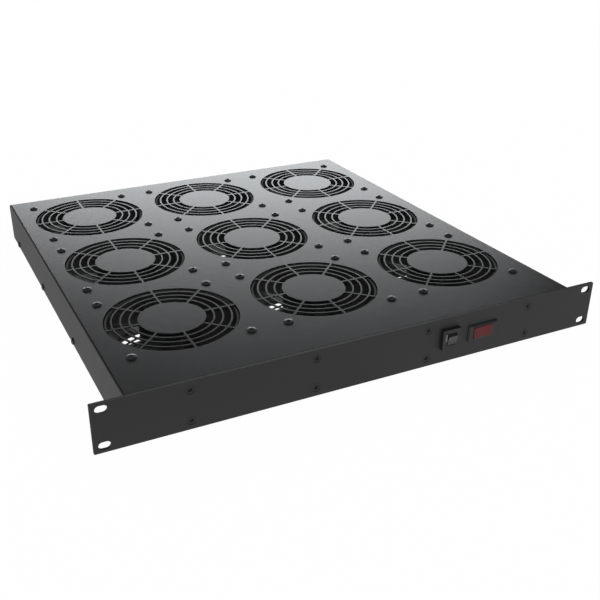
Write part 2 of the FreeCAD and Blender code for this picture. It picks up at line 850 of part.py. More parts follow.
def inlet_body():
    flange = block(inlet_x, 0, inlet_flange_width, inlet_flange_height, rear, inlet_face)
    flange = flange.makeFillet(inlet_flange_corner, edges_along(flange, Vector(0, 1, 0)))
    body = block(inlet_x, 0, inlet_body_width, inlet_body_height, inlet_back, rear)
    hole = flush_hole(m3_radius, inlet_csk_radius, inlet_flange_thickness)
    cutters = [inlet_socket()]
    for side in (-1, 1):
        cutters.append(pointing(hole, Vector(0, 1, 0),
                                Vector(inlet_x + side * inlet_screw_pitch / 2, inlet_face, 0)))
    for x, z in inlet_pin_places():
        cutters.append(block(x, z, pin_thickness, pin_width,
                             inlet_back, inlet_face - inlet_socket_depth))
    return flange.fuse(body).cut(cutters)


def inlet_pin_places():
    """Live, neutral and, raised between them, earth."""
    low = -pin_offset / 2
    half = pin_pitch / 2
    return [(inlet_x - half, low), (inlet_x + half, low), (inlet_x, low + pin_offset)]


def inlet_pins():
    """Each contact is a blade in the socket that goes through the body to a rear tab."""
    pins = []
    for x, z in inlet_pin_places():
        blade = block(x, z, pin_thickness, pin_width, inlet_back, inlet_face - pin_recess)
        tab = block(x, z, tab_thickness, pin_width, inlet_tab_end, inlet_back)
        pins.append(blade.fuse(tab).removeSplitter())
    return Part.makeCompound(pins)


def inlet_screws():
    length = inlet_flange_thickness + sheet + m3_nut_height + m4_point
    screw = flush_screw(m3_radius, inlet_csk_radius, length)
    return Part.makeCompound([pointing(screw, Vector(0, 1, 0),
                                       Vector(inlet_x + s * inlet_screw_pitch / 2, inlet_face, 0))
                              for s in (-1, 1)])


def inlet_nuts():
    nut = hex_nut(m3_nut_flats, m3_nut_height, m3_radius + thread_gap)
    return Part.makeCompound([pointing(nut, Vector(0, -1, 0),
                                       Vector(inlet_x + s * inlet_screw_pitch / 2, inner_rear, 0))
                              for s in (-1, 1)])


# ---- leads ----

def boot(x, z, pitch_x, y0, height=tab_width):
    """A moulded boot on a pair of tabs, from y0 towards +Y."""
    width = pitch_x + tab_thickness + 2 * boot_wall
    return block(x, z, width, height + 2 * boot_wall, y0, y0 + boot_length)


def mains_lead():
    """From the inlet's live and neutral tabs, along the aisle, to the switch."""
    x = inlet_x
    high = -pin_offset / 2 - boot_wall
    low = -harness_radius - mains_lead_radius - lead_drop / 2
    start = inlet_tab_end - boot_length
    rear_boot = boot(x, high, pin_pitch, start, pin_width - boot_wall)
    switch_low = switch_z - switch_tab_pitch_z / 2
    front_boot = boot(switch_x, switch_low, switch_tab_pitch_x, tab_end)
    first_row = row_places[0]
    last_row = row_places[-1]
    route = [Vector(x, start + lead_entry, high),
             Vector(x, last_row, high),
             Vector(x, last_row - fan_size / 2, low),
             Vector(x, first_row - fan_size / 4, low),
             Vector(switch_x, tab_end + mains_rise * boot_length, low),
             Vector(switch_x, tab_end + boot_length - lead_entry, switch_low)]
    return lead(route, mains_lead_radius).fuse([rear_boot, front_boot])


def fan_turn(column):
    """The quarter turn that faces a fan's terminals to the aisle beside its column."""
    return 0 if column < (fan_columns - 1) / 2 else -90


def fan_harness():
    """One sleeved loom: a run up each aisle, a cross run, and a plug for every fan."""
    cross_y = tab_end - lead_entry
    aisle_end = row_places[-1] - aisle
    route = [Vector(-aisle, aisle_end, 0), Vector(-aisle, cross_y, 0),
             Vector(aisle, cross_y, 0), Vector(aisle, aisle_end, 0)]
    trunk = lead(route, harness_radius, harness_bay / 2)
    pieces = []
    plug_face = barrel_radius + terminal_boss_reach
    plug = box(plug_face, plug_face + plug_length, -plug_width / 2, plug_width / 2,
               -plug_height / 2, plug_height / 2)
    plug_middle = plug_face + plug_length / 2
    tail = Part.makeCylinder(fan_lead_radius, aisle * math.sqrt(2) - plug_middle,
                             Vector(plug_middle, 0, 0), Vector(1, 0, 0))
    z = fan_top - fan_depth / 2
    for y in row_places:
        for column, x in enumerate(column_places):
            angle = fan_turn(column) - 45
            pieces.append(moved(plug, x, y, z, angle))
            pieces.append(moved(tail, x, y, z, angle))
    switch_high = switch_z + switch_tab_pitch_z / 2
    pieces.append(boot(switch_x, switch_high, switch_tab_pitch_x, tab_end))
    pieces.append(boot(lamp_x, lamp_z, lamp_tab_pitch, lamp_body_depth + tab_length))
    feed_y = tab_end + boot_length / 2
    pieces.append(rod_between(Vector(aisle, feed_y + harness_bay, 0),
                              Vector(switch_x, feed_y, switch_high), fan_lead_radius))
    pieces.append(rod_between(Vector(switch_x, feed_y, switch_high),
                              Vector(lamp_x, feed_y, lamp_z), fan_lead_radius))
    return trunk.fuse(pieces)


def rod_between(start, end, radius):
    along = end - start
    return Part.makeCylinder(radius, along.Length, start, along)


def earth_lead():
    """From a right-angle boot on the inlet's earth tab, up and over the inlet, to the stud's ring."""
    boot_z = (pin_offset + boot_wall) / 2
    boot_y = inlet_tab_end - boot_length
    sleeve = block(inlet_x, boot_z, tab_thickness + 2 * boot_wall, pin_width, boot_y, inlet_tab_end)
    ring_low = fan_top - ring_thickness
    ring = upright_rod(earth_stud_x, earth_stud_y, ring_low, fan_top, ring_radius)
    ring_edge = earth_stud_x - ring_radius
    tongue = box(ring_edge - tongue_length, earth_stud_x, earth_stud_y - earth_lead_radius,
                 earth_stud_y + earth_lead_radius, ring_low, fan_top)
    wire_y = boot_y + boot_length / 2
    wire_z = ring_low + ring_thickness / 2 - earth_lead_radius
    wire = lead([Vector(inlet_x, wire_y, boot_z), Vector(inlet_x, wire_y, wire_z),
                 Vector(inlet_x, earth_stud_y, wire_z),
                 Vector(ring_edge - lead_entry, earth_stud_y, wire_z)], earth_lead_radius)
    hole = upright_rod(earth_stud_x, earth_stud_y, fan_top - earth_stud_length, fan_top,
                       m4_radius + thread_gap)
    return wire.fuse([sleeve, ring, tongue]).cut(hole)


def earth_stud():
    return upright_rod(earth_stud_x, earth_stud_y, fan_top - earth_stud_length, fan_top, m4_radius)


# ---- build ----

def build():
    os.makedirs("parts", exist_ok=True)
    export(front_panel(), "front_panel")
    export(top_shell(), "top_shell")
    export(bottom_cover(), "bottom_cover")
    export(panel_screws(), "panel_screws")
    export(panel_nuts(), "panel_nuts")
    export(cover_screws(), "cover_screws")
    export(fan_screws(), "fan_screws")
    export(m4_nuts(), "m4_nuts")
    export(switch_housing(), "switch_housing")
    export(switch_rocker(), "switch_rocker")
    export(switch_terminals(), "switch_terminals")
    export(lamp_housing(), "lamp_housing")
    export(lamp_lens(), "lamp_lens")
    export(lamp_bulb(), "lamp_bulb")
    export(lamp_terminals(), "lamp_terminals")
    export(inlet_body(), "inlet_body")
    export(inlet_pins(), "inlet_pins")
    export(inlet_screws(), "inlet_screws")
    export(inlet_nuts(), "inlet_nuts")
    export(mains_lead(), "mains_lead")
    export(fan_harness(), "fan_harness")
    export(earth_lead(), "earth_lead")
    export(earth_stud(), "earth_stud")
    export_fans()


def export_fans():
    frame = fan_frame()
    winding = stator()
    wheel = impeller()
    axle = shaft()
    ring = bearing()
    bearings = []
    number = 0
    for y in row_places:
        for column, x in enumerate(column_places):
            number += 1
            rest = rotor_angles[(number - 1) % len(rotor_angles)]
            name = "fan_%d_" % number
            export(moved(frame, x, y, fan_top, fan_turn(column)), name + "frame")
            export(moved(winding, x, y, fan_top, fan_turn(column)), name + "stator")
            export(moved(wheel, x, y, fan_top, rest), name + "impeller")
            export(moved(axle, x, y, fan_top), name + "shaft")
            bearings += [moved(ring, x, y, fan_top + z) for z in bearing_heights()]
    export(Part.makeCompound(bearings), "fan_bearings")


build()
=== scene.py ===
import math

import bmesh
import bpy
import numpy as np
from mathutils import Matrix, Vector


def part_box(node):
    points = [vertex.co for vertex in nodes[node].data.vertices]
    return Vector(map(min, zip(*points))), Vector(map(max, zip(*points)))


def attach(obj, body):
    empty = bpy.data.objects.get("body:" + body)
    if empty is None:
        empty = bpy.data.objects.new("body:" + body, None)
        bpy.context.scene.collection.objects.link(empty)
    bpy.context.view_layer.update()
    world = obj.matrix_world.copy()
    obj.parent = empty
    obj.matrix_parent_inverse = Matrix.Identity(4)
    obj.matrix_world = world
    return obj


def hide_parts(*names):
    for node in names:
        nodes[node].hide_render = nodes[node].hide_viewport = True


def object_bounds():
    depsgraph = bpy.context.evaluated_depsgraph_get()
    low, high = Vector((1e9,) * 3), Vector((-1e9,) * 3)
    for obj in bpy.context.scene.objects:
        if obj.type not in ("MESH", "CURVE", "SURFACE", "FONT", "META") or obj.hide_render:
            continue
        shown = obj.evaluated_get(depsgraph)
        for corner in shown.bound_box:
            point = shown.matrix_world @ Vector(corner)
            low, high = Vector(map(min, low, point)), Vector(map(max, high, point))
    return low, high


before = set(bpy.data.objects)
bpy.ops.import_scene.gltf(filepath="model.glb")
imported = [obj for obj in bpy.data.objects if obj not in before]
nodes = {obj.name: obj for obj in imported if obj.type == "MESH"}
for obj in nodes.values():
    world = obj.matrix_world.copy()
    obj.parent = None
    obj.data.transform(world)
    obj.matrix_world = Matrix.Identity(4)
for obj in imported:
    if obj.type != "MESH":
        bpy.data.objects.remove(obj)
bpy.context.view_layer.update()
mm = 0.001
print("frame loaded:", len(nodes), "nodes")

fanNames = sorted({name.rsplit("_", 1)[0] for name in nodes if name.endswith("_impeller")})


# colour and node helpers

def linearColour(hexText):
    # sRGB hex to the linear values that shaders take
    srgb = np.array([int(hexText[i:i + 2], 16) for i in (1, 3, 5)]) / 255
    linear = np.where(srgb <= 0.04045, srgb / 12.92, ((srgb + 0.055) / 1.055) ** 2.4)
    return (*[float(v) for v in linear], 1.0)


def addNode(tree, kind, settings=(), links=()):
    # a setting is a socket if the node has one of that name, else an attribute
    node = tree.nodes.new(kind)
    for key, value in dict(settings).items():
        if isinstance(key, int) or key in node.inputs:
            node.inputs[key].default_value = value
        else:
            setattr(node, key, value)
    for key, source in dict(links).items():
        tree.links.new(source, node.inputs[key])
    return node


def newMaterial(name):
    material = bpy.data.materials.new(name)
    material.use_nodes = True
    material.node_tree.nodes.clear()
    return material, material.node_tree


def finishMaterial(tree, shader):
    addNode(tree, "ShaderNodeOutputMaterial", {}, {"Surface": shader.outputs[0]})


def patternScale(millimetres):
    # a noise or voronoi cell of this size on Object coordinates in metres
    return 1 / (millimetres * mm)


def waveScale(millimetres):
    # a wave texture multiplies its place by 20, so its bands repeat every 2 pi times this length
    return patternScale(millimetres) / 20


# what a noise texture's values mostly span
noiseLow, noiseHigh = 0.3, 0.7


def addObject(name, data):
    item = bpy.data.objects.new(name, data)
    bpy.context.scene.collection.objects.link(item)
    return item


def wear(material, *names):
    for name in names:
        for slot in nodes[name].material_slots:
            slot.material = material


# paint: polyester powder coat, semi-gloss, baked on steel sheet

powderCoat = {
    "panel": {"colour": "#1b1b1c", "flat": 0.50, "upright": 0.62, "peelMm": 1.1, "peelDepth": 0.02},
    "shell": {"colour": "#1b1b1c", "flat": 0.27, "upright": 0.64, "peelMm": 1.2, "peelDepth": 0.014},
    "peelHeightMm": 0.2,
    "grainMm": 0.35,
    "grainShift": 0.008,
    "driftMm": 60,
    "bothLow": 0.6,         # what the grain and the drift mostly span together
    "bothHigh": 1.4,
}


def makePowderCoat(name, look):
    # orange peel: soft millimetre dimples in the gloss; a finer grain shifts the roughness.
    # flat and upright faces have a roughness each, both fitted to the photograph's tones
    material, tree = newMaterial(name)
    place = addNode(tree, "ShaderNodeTexCoord")
    peel = addNode(tree, "ShaderNodeTexNoise",
                   {"Scale": patternScale(look["peelMm"]), "Detail": 2.0, "Roughness": 0.45},
                   {"Vector": place.outputs["Object"]})
    grain = addNode(tree, "ShaderNodeTexNoise",
                    {"Scale": patternScale(powderCoat["grainMm"]), "Detail": 1.0},
                    {"Vector": place.outputs["Object"]})
    drift = addNode(tree, "ShaderNodeTexNoise",
                    {"Scale": patternScale(powderCoat["driftMm"]), "Detail": 2.0},
                    {"Vector": place.outputs["Object"]})
    both = addNode(tree, "ShaderNodeMath", {"operation": "ADD"},
                   {0: grain.outputs["Fac"], 1: drift.outputs["Fac"]})
    shift = addNode(tree, "ShaderNodeMapRange",
                    {"From Min": powderCoat["bothLow"], "From Max": powderCoat["bothHigh"],
                     "To Min": -powderCoat["grainShift"], "To Max": powderCoat["grainShift"]},
                    {"Value": both.outputs[0]})
    facing = addNode(tree, "ShaderNodeSeparateXYZ", {}, {"Vector": place.outputs["Normal"]})
    level = addNode(tree, "ShaderNodeMath", {"operation": "ABSOLUTE"}, {0: facing.outputs["Z"]})
    duller = addNode(tree, "ShaderNodeMapRange",
                     {"To Min": look["upright"], "To Max": look["flat"]},
                     {"Value": level.outputs[0]})
    rough = addNode(tree, "ShaderNodeMath", {"operation": "ADD"},
                    {0: shift.outputs[0], 1: duller.outputs[0]})
    bump = addNode(tree, "ShaderNodeBump",
                   {"Strength": look["peelDepth"], "Distance": powderCoat["peelHeightMm"] * mm},
                   {"Height": peel.outputs["Fac"]})
    paint = addNode(tree, "ShaderNodeBsdfPrincipled",
                    {"Base Color": linearColour(look["colour"]), "IOR": 1.5},
                    {"Roughness": rough.outputs[0], "Normal": bump.outputs[0]})
    finishMaterial(tree, paint)
    return material


# plastics: glass-filled PBT, PA66 and ABS, each with its moulded texture

mouldedPlastic = {
    "rotor": {"colour": "#202021", "roughness": 0.58, "textureMm": 0.5, "depth": 0.05},
    "switchBody": {"colour": "#161617", "roughness": 0.60, "textureMm": 0.25, "depth": 0.04},
    "rocker": {"colour": "#202021", "roughness": 0.42, "textureMm": 0.3, "depth": 0.02},
    # the rib's mid grey is a painted highlight: the light its rounded face catches, put into its
    # colour
    "rib": {"colour": "#646466", "roughness": 0.5, "textureMm": 0.3, "depth": 0.02},
    "lampBody": {"colour": "#1a1a1b", "roughness": 0.60, "textureMm": 0.25, "depth": 0.04},
    "inlet": {"colour": "#131314", "roughness": 0.42, "textureMm": 0.3, "depth": 0.08},
}


plasticSkin = {
    "flowMm": 14,
    "smoother": 0.04,       # how far the flow marks move the roughness down, and up
    "rougher": 0.05,
    "dimpleMm": 0.05,
}


def makePlastic(name, look):
    # a spark-eroded mould leaves a fine even dimple; flow marks drift across the part
    material, tree = newMaterial(name)
    place = addNode(tree, "ShaderNodeTexCoord")
    dimple = addNode(tree, "ShaderNodeTexVoronoi",
                     {"Scale": patternScale(look["textureMm"]), "feature": "SMOOTH_F1"},
                     {"Vector": place.outputs["Object"]})
    flow = addNode(tree, "ShaderNodeTexNoise",
                   {"Scale": patternScale(plasticSkin["flowMm"]), "Detail": 3.0},
                   {"Vector": place.outputs["Object"]})
    rough = addNode(tree, "ShaderNodeMapRange",
                    {"From Min": noiseLow, "From Max": noiseHigh,
                     "To Min": look["roughness"] - plasticSkin["smoother"],
                     "To Max": look["roughness"] + plasticSkin["rougher"]},
                    {"Value": flow.outputs["Fac"]})
    bump = addNode(tree, "ShaderNodeBump",
                   {"Strength": look["depth"], "Distance": plasticSkin["dimpleMm"] * mm},
                   {"Height": dimple.outputs["Distance"]})
    body = addNode(tree, "ShaderNodeBsdfPrincipled",
                   {"Base Color": linearColour(look["colour"]), "IOR": 1.52},
                   {"Roughness": rough.outputs[0], "Normal": bump.outputs[0]})
    finishMaterial(tree, body)
    return material


# metals, and the lacquer or enamel that covers some of them

metalFinish = {
    "raisedScrew": {"colour": "#2b2b2c", "metallic": 0.0, "roughness": 0.22, "grainMm": 0.3},
    # the flush heads wear a darker copy of the raised heads' black lacquer; the extra darkness is
    # painted shade where they sit sunk in the panel
    "flushScrewShaded": {"colour": "#151516", "metallic": 0.0, "roughness": 0.60, "grainMm": 0.3},
    "zincPlate": {"colour": "#b9bab6", "metallic": 1.0, "roughness": 0.34, "grainMm": 0.5},
    "groundSteel": {"colour": "#c9c9c6", "metallic": 1.0, "roughness": 0.18, "grainMm": 0.4},
    "tinnedBrass": {"colour": "#cfc9b4", "metallic": 1.0, "roughness": 0.28, "grainMm": 0.6},
    "castFrame": {"colour": "#303031", "metallic": 0.0, "roughness": 0.66, "grainMm": 0.7},
}


metalSkin = {
    "smoother": 0.06,       # how far the grain moves the roughness down, and up
    "rougher": 0.08,
    "reliefMm": 0.1,
}


def makeMetal(name, look, grainDepth=0.06):
    # plated, painted or cast skin: a fine uneven grain in the roughness and the relief
    material, tree = newMaterial(name)
    place = addNode(tree, "ShaderNodeTexCoord")
    grain = addNode(tree, "ShaderNodeTexNoise",
                    {"Scale": patternScale(look["grainMm"]), "Detail": 4.0, "Roughness": 0.6},
                    {"Vector": place.outputs["Object"]})
    rough = addNode(tree, "ShaderNodeMapRange",
                    {"From Min": noiseLow, "From Max": noiseHigh,
                     "To Min": look["roughness"] - metalSkin["smoother"],
                     "To Max": look["roughness"] + metalSkin["rougher"]},
                    {"Value": grain.outputs["Fac"]})
    bump = addNode(tree, "ShaderNodeBump",
                   {"Strength": grainDepth, "Distance": metalSkin["reliefMm"] * mm},
                   {"Height": grain.outputs["Fac"]})
    body = addNode(tree, "ShaderNodeBsdfPrincipled",
                   {"Base Color": linearColour(look["colour"]), "Metallic": look["metallic"]},
                   {"Roughness": rough.outputs[0], "Normal": bump.outputs[0]})
    finishMaterial(tree, body)
    return material


stator = {
    "sheetWaveMm": 0.5,
    "steel": "#55585a",
    "seam": "#2e3032",
    "copper": "#8a4a25",
    "copperDark": "#4d2814",
    "wireMm": 0.6,
}


def makeStator(name, stackLow, stackHigh):
    # silicon steel sheets stacked along z, with enamelled copper wire above and below them
    material, tree = newMaterial(name)
    place = addNode(tree, "ShaderNodeTexCoord")
    split = addNode(tree, "ShaderNodeSeparateXYZ", {}, {"Vector": place.outputs["Object"]})
    sheets = addNode(tree, "ShaderNodeTexWave",
                     {"Scale": waveScale(stator["sheetWaveMm"]), "bands_direction": "Z"},
                     {"Vector": place.outputs["Object"]})
    steel = addNode(tree, "ShaderNodeMix",
                    {"data_type": "RGBA", 6: linearColour(stator["seam"]),
                     7: linearColour(stator["steel"])},
                    {0: sheets.outputs["Fac"]})
    strands = addNode(tree, "ShaderNodeTexNoise",
                      {"Scale": patternScale(stator["wireMm"]), "Detail": 2.0},
                      {"Vector": place.outputs["Object"]})
    copper = addNode(tree, "ShaderNodeMix",
                     {"data_type": "RGBA", 6: linearColour(stator["copperDark"]),
                      7: linearColour(stator["copper"])},
                     {0: strands.outputs["Fac"]})
    above = addNode(tree, "ShaderNodeMath", {"operation": "GREATER_THAN", 1: stackHigh},
                    {0: split.outputs["Z"]})
    below = addNode(tree, "ShaderNodeMath", {"operation": "LESS_THAN", 1: stackLow},
                    {0: split.outputs["Z"]})
    wound = addNode(tree, "ShaderNodeMath", {"operation": "MAXIMUM"},
                    {0: above.outputs[0], 1: below.outputs[0]})
    colour = addNode(tree, "ShaderNodeMix", {"data_type": "RGBA"},
                     {0: wound.outputs[0], 6: steel.outputs[2], 7: copper.outputs[2]})
    bump = addNode(tree, "ShaderNodeBump", {"Strength": 0.3, "Distance": 0.2 * mm},
                   {"Height": strands.outputs["Fac"]})
    body = addNode(tree, "ShaderNodeBsdfPrincipled", {"Metallic": 0.85, "Roughness": 0.42},
                   {"Base Color": colour.outputs[2], "Normal": bump.outputs[0]})
    finishMaterial(tree, body)
    return material


leadSkin = {
    "black": {"colour": "#151516", "second": "#1c1c1d", "roughness": 0.45, "waveMm": 3.0},
    "earth": {"colour": "#2e6b2a", "second": "#c8b92c", "roughness": 0.4, "waveMm": 2.2},
}


def makeLeadSkin(name, look):
    # soft PVC: slow slanting bands, which on an earth lead are its two colours
    material, tree = newMaterial(name)
    place = addNode(tree, "ShaderNodeTexCoord")
    bands = addNode(tree, "ShaderNodeTexWave",
                    {"Scale": waveScale(look["waveMm"]), "bands_direction": "DIAGONAL",
                     "Distortion": 0.4},
                    {"Vector": place.outputs["Object"]})
    colour = addNode(tree, "ShaderNodeMix",
                     {"data_type": "RGBA", 6: linearColour(look["colour"]),
                      7: linearColour(look["second"])},
                     {0: bands.outputs["Fac"]})
    scuff = addNode(tree, "ShaderNodeTexNoise", {"Scale": patternScale(2.0), "Detail": 3.0},
                    {"Vector": place.outputs["Object"]})
    bump = addNode(tree, "ShaderNodeBump", {"Strength": 0.1, "Distance": 0.1 * mm},
                   {"Height": scuff.outputs["Fac"]})
    body = addNode(tree, "ShaderNodeBsdfPrincipled", {"Roughness": look["roughness"]},
                   {"Base Color": colour.outputs[2], "Normal": bump.outputs[0]})
    finishMaterial(tree, body)
    return material


lens = {
    "colour": "#6b0b15",
    "shade": "#52060c",
    "roughness": 0.6,
    "transmission": 0.15,
    "scatter": 0.2,
    "scatterMm": 1.5,
    "prismMm": 1.6,
}


def makeLens(name):
    # dyed polycarbonate with a satin front; its shade varies over the prisms of its back
    material, tree = newMaterial(name)
    place = addNode(tree, "ShaderNodeTexCoord")
    prisms = addNode(tree, "ShaderNodeTexVoronoi",
                     {"Scale": patternScale(lens["prismMm"]), "distance": "CHEBYCHEV",
                      "Randomness": 0.0},
                     {"Vector": place.outputs["Object"]})
    shade = addNode(tree, "ShaderNodeMix",
                    {"data_type": "RGBA", 6: linearColour(lens["colour"]),
                     7: linearColour(lens["shade"])},
                    {0: prisms.outputs["Distance"]})
    body = addNode(tree, "ShaderNodeBsdfPrincipled",
                   {"Roughness": lens["roughness"], "IOR": 1.45,
                    "Transmission Weight": lens["transmission"],
                    "Subsurface Weight": lens["scatter"],
                    "Subsurface Scale": lens["scatterMm"] * mm},
                   {"Base Color": shade.outputs[2]})
    finishMaterial(tree, body)
    return material


neonGlass = {
    "colour": "#ffd9c0",
    "roughness": 0.05,
    "transmission": 0.9,
    "streakMm": 3,
}


def makeGlowGlass(name):
    # clear glass envelope with a warm neon tint; unlit
    material, tree = newMaterial(name)
    place = addNode(tree, "ShaderNodeTexCoord")
    streak = addNode(tree, "ShaderNodeTexNoise", {"Scale": patternScale(neonGlass["streakMm"])},
                     {"Vector": place.outputs["Object"]})
    bump = addNode(tree, "ShaderNodeBump", {"Strength": 0.05, "Distance": 0.1 * mm},
                   {"Height": streak.outputs["Fac"]})
    body = addNode(tree, "ShaderNodeBsdfPrincipled",
                   {"Base Color": linearColour(neonGlass["colour"]),
                    "Roughness": neonGlass["roughness"], "IOR": 1.5,
                    "Transmission Weight": neonGlass["transmission"]},
                   {"Normal": bump.outputs[0]})
    finishMaterial(tree, body)
    return material


# screws: one head shape as a surface over (turn, path), repeated where the frame has a screw

screwHead = {
    "turns": 32,
    "topRings": 13,         # rings on what faces up, where the recess is
    "firstRing": 0.04,      # of the head's radius, as are all below
    "lastRing": 0.86,
    "armLength": 0.48,
    "armWidth": 0.15,
    "soft": 0.05,
    "edgeBreak": 0.10,      # the rim of a flush head
    "armReach": 1.15,       # how far past its length an arm's floor still slopes up
    "armSteep": 2.2,
}


def crossRecess(u, v):
    # depth 0..1 of a cross recess at head-radius coordinates u, v: the larger of two
    # perpendicular arms, each the product of a soft edge across it and a slope along it
    def arm(along, across):
        side = np.clip((screwHead["armWidth"] - np.abs(across)) / screwHead["soft"] + 0.5, 0, 1)
        slope = np.clip(screwHead["armReach"] - np.abs(along) / screwHead["armLength"], 0, 1)
        return side * np.clip(slope * screwHead["armSteep"], 0, 1)
    return np.maximum(arm(u, v), arm(v, u))


def screwSurface(profile, headRadius, recessDepth, spin):
    # the profile (radius, height) turned about z; the recess lowers what faces up
    turns = screwHead["turns"]
    angle = np.linspace(0, 2 * np.pi, turns, endpoint=False)
    radius, height = np.array(profile).T
    x = radius[:, None] * np.cos(angle)
    y = radius[:, None] * np.sin(angle)
    z = np.repeat(height[:, None], turns, axis=1)
    u = (x * np.cos(spin) + y * np.sin(spin)) / headRadius
    v = (y * np.cos(spin) - x * np.sin(spin)) / headRadius
    top = np.arange(len(radius)) < screwHead["topRings"]
    z = z - recessDepth * crossRecess(u, v) * top[:, None]
    return np.stack([x, y, z], axis=-1)


def screwProfile(headRadius, headHeight, shank, length, crown):
    # rings from the centre over the crown to the rim, under the head and down the shank
    share = np.linspace(screwHead["firstRing"], screwHead["lastRing"], screwHead["topRings"])
    top = [(headRadius * s, headHeight - crown * s * s) for s in share]
    rim = headHeight - crown * screwHead["lastRing"] ** 2
    if headHeight > 0:
        edge = [(headRadius * 0.96, rim * 0.75), (headRadius, rim * 0.4), (headRadius, 0.0),
                (shank, 0.0)]
    else:
        lip = screwHead["edgeBreak"] * headRadius
        edge = [(headRadius - lip, rim), (headRadius, rim - lip),
                (shank, rim - lip - (headRadius - shank))]
    return top + edge + [(shank, -length), (shank * 0.7, -length - 0.3 * shank)]


def gridFaces(rings, turns, start):
    # quads between neighbouring rings, and one face that closes each end
    ring, turn = np.meshgrid(np.arange(rings - 1), np.arange(turns), indexing="ij")
    after = (turn + 1) % turns
    quads = np.stack([ring * turns + turn, (ring + 1) * turns + turn,
                      (ring + 1) * turns + after, ring * turns + after], axis=-1)
    quads = quads.reshape(-1, 4) + start
    first = [int(start + k) for k in range(turns)]
    last = [int(start + (rings - 1) * turns + k) for k in reversed(range(turns))]
    return [list(map(int, q)) for q in quads] + [first, last]


def makeMesh(name, points, faces, material, body):
    mesh = bpy.data.meshes.new(name)
    mesh.from_pydata([tuple(p) for p in points], [], faces)
    mesh.update()
    piece = addObject(name, mesh)
    mesh.materials.append(material)
    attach(piece, body)
    return piece


def islandBoxes(node):
    # the low and high corner of each loose solid of a CAD node, from its own vertices
    mesh = nodes[node].data
    points = np.empty(len(mesh.vertices) * 3)
    mesh.vertices.foreach_get("co", points)
    points = points.reshape(-1, 3)
    keys = np.round(points, 6)
    unique, inverse = np.unique(keys, axis=0, return_inverse=True)
    label = np.arange(len(unique))
    edges = np.array([inverse[list(p.vertices)][[0, 1, 2]] for p in mesh.polygons])
    while True:
        low = label[edges].min(axis=1)
        before = label.copy()
        np.minimum.at(label, edges.ravel(), np.repeat(low, 3))
        label = label[label]
        if np.array_equal(before, label):
            break
    found = []
    for name in np.unique(label):
        part = unique[label == name]
        found.append((part.min(axis=0), part.max(axis=0)))
    return found


# millimetres; seat is how far the head's foot lies below the highest point of the node's screw
screws = {
    "fan_screws": {"axis": (0, 0, 1), "head": 4.3, "height": 1.6, "seat": 2.3, "shank": 2.0,
                   "crown": 0.5, "recess": 1.5, "finish": "raised"},
    "cover_screws": {"axis": "x", "head": 3.4, "height": 2.0, "seat": 2.2, "shank": 1.7,
                     "crown": 0.5, "recess": 1.3, "finish": "raised"},
    "panel_screws": {"axis": (0, -1, 0), "head": 4.15, "height": 0.0, "seat": 0.25, "shank": 2.0,
                     "crown": 0.0, "recess": 0.9, "finish": "flush"},
    "inlet_screws": {"axis": (0, 1, 0), "head": 2.95, "height": 0.0, "seat": 0.0, "shank": 1.5,
                     "crown": 0.0, "recess": 0.9, "finish": "flush"},
}


def axisOf(rule, low, high):
    # a fixed direction, or for "x" outwards from the middle of the tray
    if rule == "x":
        return Vector((1 if (low + high)[0] > 0 else -1, 0, 0))
    return Vector(rule)


def makeScrews(node, look):
    # every screw of the node as one mesh, each turned its own way as a driver leaves it
    points = []
    faces = []
    headHeight = look["height"] * mm
    for index, (low, high) in enumerate(islandBoxes(node)):
        axis = axisOf(look["axis"], low, high)
        centre = (low + high) / 2
        span = abs(Vector(high - low).dot(axis))
        seat = np.array(Vector(centre) + axis * (span / 2 - look["seat"] * mm))
        length = span - (look["seat"] + 0.35 * look["shank"]) * mm
        profile = screwProfile(look["head"] * mm, headHeight, look["shank"] * mm, length,
                               look["crown"] * mm)
        surface = screwSurface(profile, look["head"] * mm, look["recess"] * mm, 0.9 * index)
        rings, turns = surface.shape[:2]
        turn = np.array(axis.to_track_quat("Z", "Y").to_matrix())
        faces += gridFaces(rings, turns, len(points))
        points += list(surface.reshape(-1, 3) @ turn.T + seat)
    piece = makeMesh(node + "Detailed", points, faces, screwFinish[look["finish"]], "tray")
    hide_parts(node)


# the finishes, and which node wears which

panelPaint = makePowderCoat("powder coat, panel", powderCoat["panel"])
shellPaint = makePowderCoat("powder coat, shell", powderCoat["shell"])
wear(panelPaint, "front_panel")
wear(shellPaint, "top_shell", "bottom_cover")

rotorPlastic = makePlastic("glass-filled PBT, rotor", mouldedPlastic["rotor"])
switchPlastic = makePlastic("PA66, switch body", mouldedPlastic["switchBody"])
rockerPlastic = makePlastic("PA66, rocker", mouldedPlastic["rocker"])
ribHighlightPlastic = makePlastic("PA66, switch rib, painted highlight", mouldedPlastic["rib"])
lampPlastic = makePlastic("ABS, lamp body", mouldedPlastic["lampBody"])
inletPlastic = makePlastic("PBT, inlet", mouldedPlastic["inlet"])
wear(switchPlastic, "switch_housing")
wear(rockerPlastic, "switch_rocker")
wear(lampPlastic, "lamp_housing")
wear(inletPlastic, "inlet_body")

screwFinish = {
    "raised": makeMetal("black lacquered screw", metalFinish["raisedScrew"]),
    # the flush copy's darker colour is painted shade, not a different lacquer
    "flush": makeMetal("black lacquered screw, flush, painted shade", metalFinish["flushScrewShaded"]),
}
zincPlate = makeMetal("zinc plate", metalFinish["zincPlate"])
groundSteel = makeMetal("ground steel", metalFinish["groundSteel"], 0.02)
tinnedBrass = makeMetal("tinned brass", metalFinish["tinnedBrass"])
castFrame = makeMetal("cast aluminium, black stove enamel", metalFinish["castFrame"], 0.2)
wear(zincPlate, "panel_nuts", "m4_nuts", "inlet_nuts", "earth_stud")
wear(groundSteel, "fan_bearings")
wear(tinnedBrass, "switch_terminals", "lamp_terminals", "inlet_pins")

wear(makeLeadSkin("PVC, black", leadSkin["black"]), "mains_lead", "fan_harness")
wear(makeLeadSkin("PVC, earth", leadSkin["earth"]), "earth_lead")
wear(makeLens("polycarbonate, red"), "lamp_lens")
wear(makeGlowGlass("neon glass"), "lamp_bulb")

